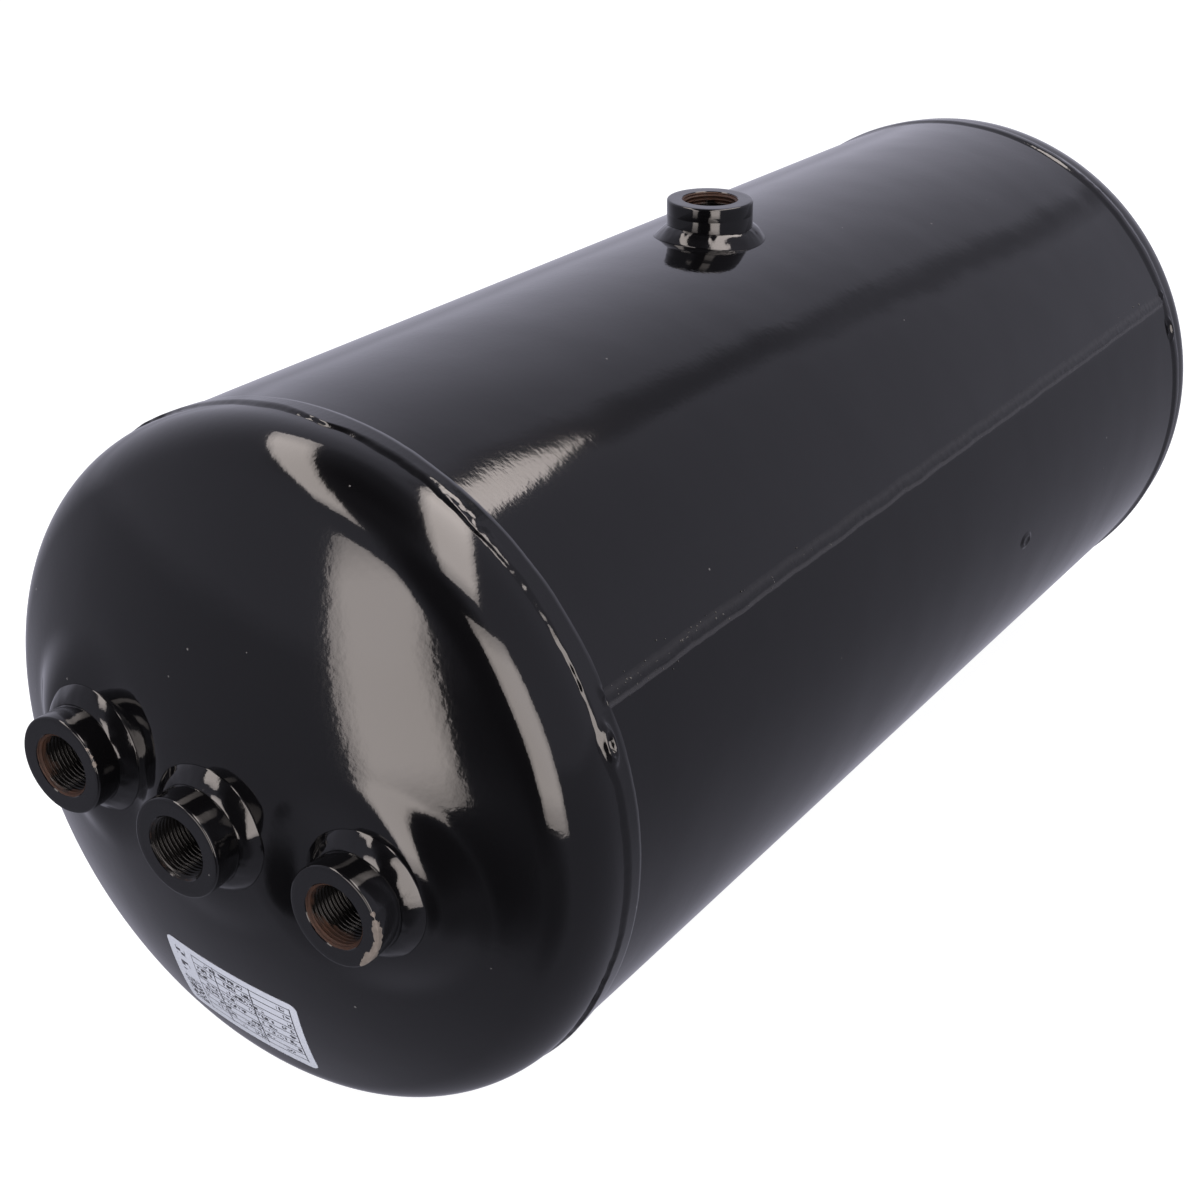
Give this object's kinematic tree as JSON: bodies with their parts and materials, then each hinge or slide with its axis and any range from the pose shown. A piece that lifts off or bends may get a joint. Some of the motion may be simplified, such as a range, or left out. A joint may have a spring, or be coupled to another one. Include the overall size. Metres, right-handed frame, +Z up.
{
  "type": "cylindrical pressure reservoir",
  "caption": "Welded steel pressure reservoir: a rolled cylindrical shell closed by dished heads, with threaded port bosses in a row on one head and another boss at mid length.",
  "frame": {"origin": "on the shell's axis at mid length, in the plane of the shell port", "axes": "+X along the shell's axis from the ported head to the plain head; +Z up, out of the shell port"},
  "size_m": [0.6054, 0.2486, 0.2613],
  "materials": {
    "gloss_black_paint": "gloss black paint, slight orange peel",
    "painted_weld": "gloss black paint over a rippled weld bead",
    "painted_boss": "gloss black paint on turned steel, bare thread",
    "label_film": "satin printed film"
  },
  "bodies": {
    "root": {"shell": "gloss_black_paint", "front_head": "gloss_black_paint", "rear_head": "gloss_black_paint", "shell_seam_weld": "painted_weld", "front_girth_weld": "painted_weld", "rear_girth_weld": "painted_weld", "front_port_left_weld": "painted_weld", "front_port_centre_weld": "painted_weld", "front_port_right_weld": "painted_weld", "shell_port_weld": "painted_weld", "front_port_left_boss": "painted_boss", "front_port_centre_boss": "painted_boss", "front_port_right_boss": "painted_boss", "shell_port_boss": "painted_boss", "data_label": "label_film"}
  },
  "joints": []
}
